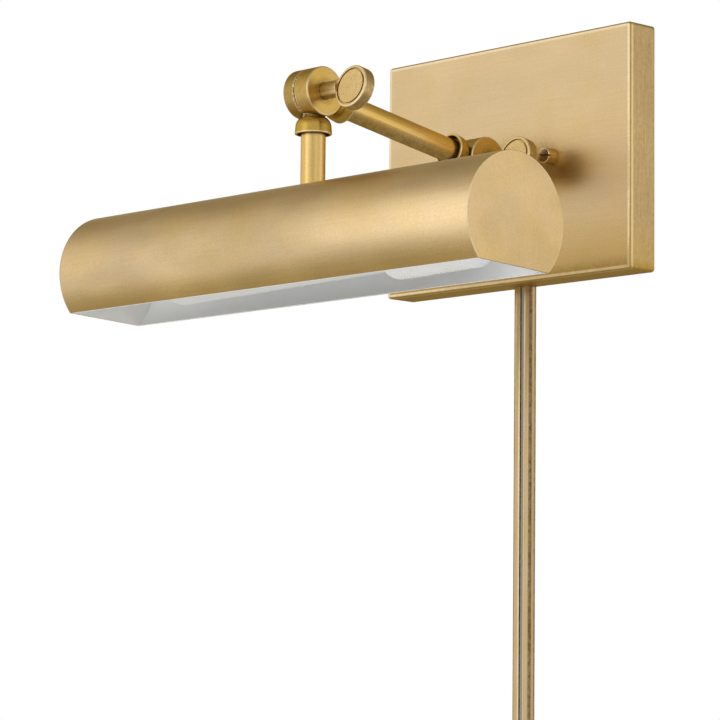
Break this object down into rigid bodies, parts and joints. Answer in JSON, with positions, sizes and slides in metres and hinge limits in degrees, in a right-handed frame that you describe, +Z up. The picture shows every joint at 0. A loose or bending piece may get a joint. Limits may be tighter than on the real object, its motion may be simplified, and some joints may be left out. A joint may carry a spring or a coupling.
{
  "type": "wall accent lamp",
  "caption": "Brass wall accent lamp: a long round shade, open underneath, hangs from an arm with clamped knuckles in front of a rectangular back plate with a cord cover below.",
  "frame": {"origin": "middle of the back plate's outline, on the wall", "axes": "+X to the right of someone facing the lamp, +Y into the wall, +Z up"},
  "size_m": [0.3048, 0.2005, 0.4348],
  "materials": {
    "antique_brass": "brushed, lightly darkened, with a dark patina in recesses",
    "zinc_steel": "plain zinc plate",
    "green_screw": "green dyed earth screw",
    "black_bushing": "black moulded bushing",
    "strip_plastic": "extruded strip",
    "foam_tape": "white foam tape",
    "porcelain": "white glazed",
    "lamp_cap": "plain",
    "frosted_glass": "frosted white"
  },
  "bodies": {
    "wall": {"backplate_pan": "antique_brass", "mounting_bar": "zinc_steel", "mounting_studs": "zinc_steel", "cap_nuts": "antique_brass", "earth_screw": "green_screw", "wall_knuckle": "antique_brass", "wall_collar": "antique_brass", "lock_washer": "zinc_steel", "lock_nut": "zinc_steel", "cord_outlet": "black_bushing", "cord_cover": "antique_brass", "cover_rails": "antique_brass", "cover_strip": "strip_plastic", "cover_tape": "foam_tape"},
    "arm": {"arm_lower_knuckle": "antique_brass", "arm_lower_collar": "antique_brass", "arm_tube": "antique_brass", "arm_upper_collar": "antique_brass", "arm_upper_knuckle": "antique_brass", "lower_friction_washer": "zinc_steel", "upper_friction_washer": "zinc_steel"},
    "head": {"stem_knuckle": "antique_brass", "stem_collar": "antique_brass", "stem_tube": "antique_brass", "shade_nipple": "zinc_steel", "shade_barrel": "antique_brass", "end_cap_left": "antique_brass", "end_cap_right": "antique_brass", "saddle_washer": "zinc_steel", "lamp_cradle": "zinc_steel", "nipple_nut": "zinc_steel", "socket_screws": "zinc_steel", "lamp_socket": "porcelain", "lamp_base": "lamp_cap", "lamp_glass": "frosted_glass"},
    "lower_thumbscrew": {"lower_thumbscrew": "antique_brass"},
    "upper_thumbscrew": {"upper_thumbscrew": "antique_brass"}
  },
  "joints": [
    {"name": "lower_hinge", "type": "hinge", "parent": "wall", "child": "arm", "pos_m": [0, -0.04, -0.0016], "axis": [1, 0, 0], "range_deg": [-75, 50]},
    {"name": "upper_hinge", "type": "hinge", "parent": "arm", "child": "head", "pos_m": [0, -0.15821, 0.01903], "axis": [1, 0, 0], "range_deg": [-95, 12]},
    {"name": "lower_thumbscrew_turn", "type": "hinge", "parent": "arm", "child": "lower_thumbscrew", "pos_m": [0, -0.04, -0.0016], "axis": [1, 0, 0], "continuous": true},
    {"name": "upper_thumbscrew_turn", "type": "hinge", "parent": "arm", "child": "upper_thumbscrew", "pos_m": [0, -0.15821, 0.01903], "axis": [1, 0, 0], "continuous": true}
  ]
}
